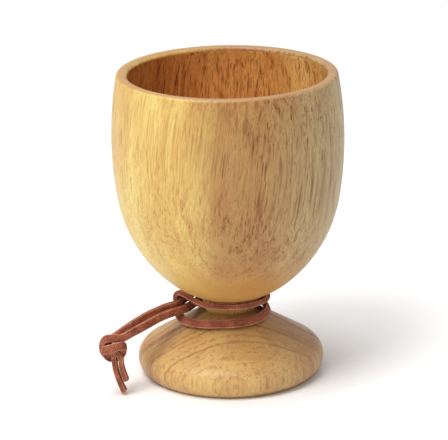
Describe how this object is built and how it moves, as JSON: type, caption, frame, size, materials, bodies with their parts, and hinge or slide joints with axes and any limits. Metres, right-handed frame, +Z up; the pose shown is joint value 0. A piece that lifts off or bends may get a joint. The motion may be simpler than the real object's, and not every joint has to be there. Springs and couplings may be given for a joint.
{
  "type": "wooden goblet with leather lace",
  "caption": "Turned wooden goblet with an egg-shaped bowl on a short collar and a wide round foot, and a knotted leather lace hitched round its neck.",
  "frame": {"origin": "middle of the foot's resting face, on the axis of the goblet", "axes": "+Z up through the bowl, -Y towards the side on which the lace's tails hang, -X towards the knot"},
  "size_m": [0.0907, 0.085, 0.1144],
  "materials": {
    "bowl_wood": "light golden hardwood with short brown vessel streaks, thin satin oil finish",
    "foot_wood": "the same hardwood, slightly darker, satin oil finish",
    "lace_leather": "matt red-brown suede lace with lighter cut edges"
  },
  "bodies": {
    "goblet": {"bowl": "bowl_wood", "foot": "foot_wood"},
    "lanyard": {"lace_loop": "lace_leather", "lace_knot": "lace_leather", "lace_tail_long": "lace_leather", "lace_tail_short": "lace_leather"}
  },
  "joints": [
    {"name": "lanyard_turn", "type": "hinge", "parent": "goblet", "child": "lanyard", "pos_m": [0, 0, 0.026], "axis": [0, 0, 1], "continuous": true}
  ]
}
